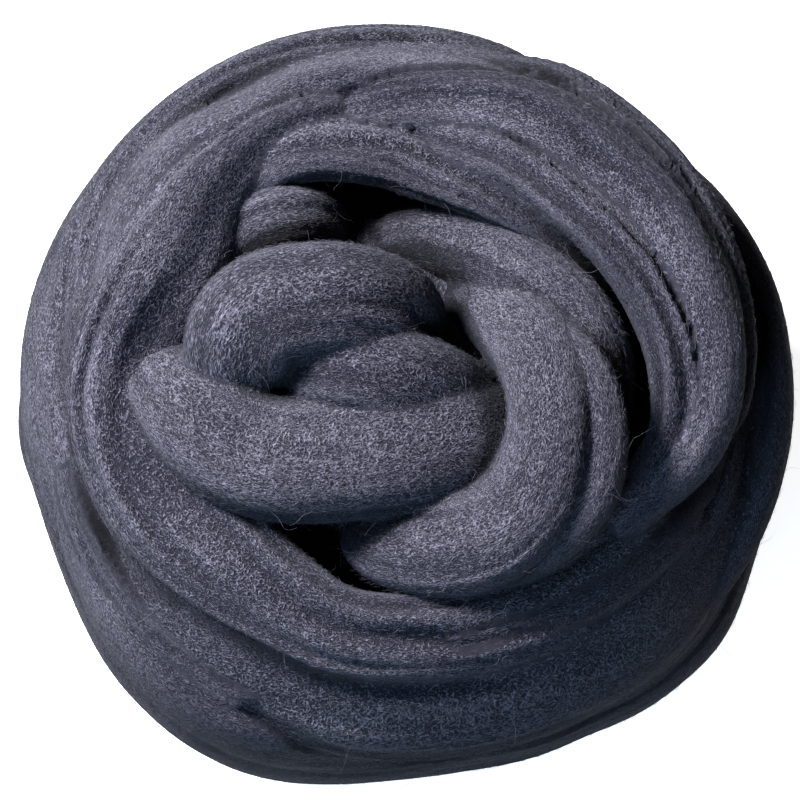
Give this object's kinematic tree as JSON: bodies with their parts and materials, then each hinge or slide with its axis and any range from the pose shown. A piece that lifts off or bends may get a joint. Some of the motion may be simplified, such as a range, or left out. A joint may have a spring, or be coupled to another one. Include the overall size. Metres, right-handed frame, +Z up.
{
  "type": "wound ball of wool roving",
  "caption": "Squat hand-wound ball of slate blue-grey wool roving, with loose turns round its belly and a folded loop tucked into its crown.",
  "frame": {"origin": "on the surface that the ball rests on, under the middle of its box", "axes": "+Z up, +X to the right and +Y to the back in the picture's view"},
  "size_m": [0.1815, 0.1771, 0.1134],
  "materials": {
    "wool": "matte combed wool, uncoated"
  },
  "bodies": {
    "root": {"wound_roving": "wool"}
  },
  "joints": []
}
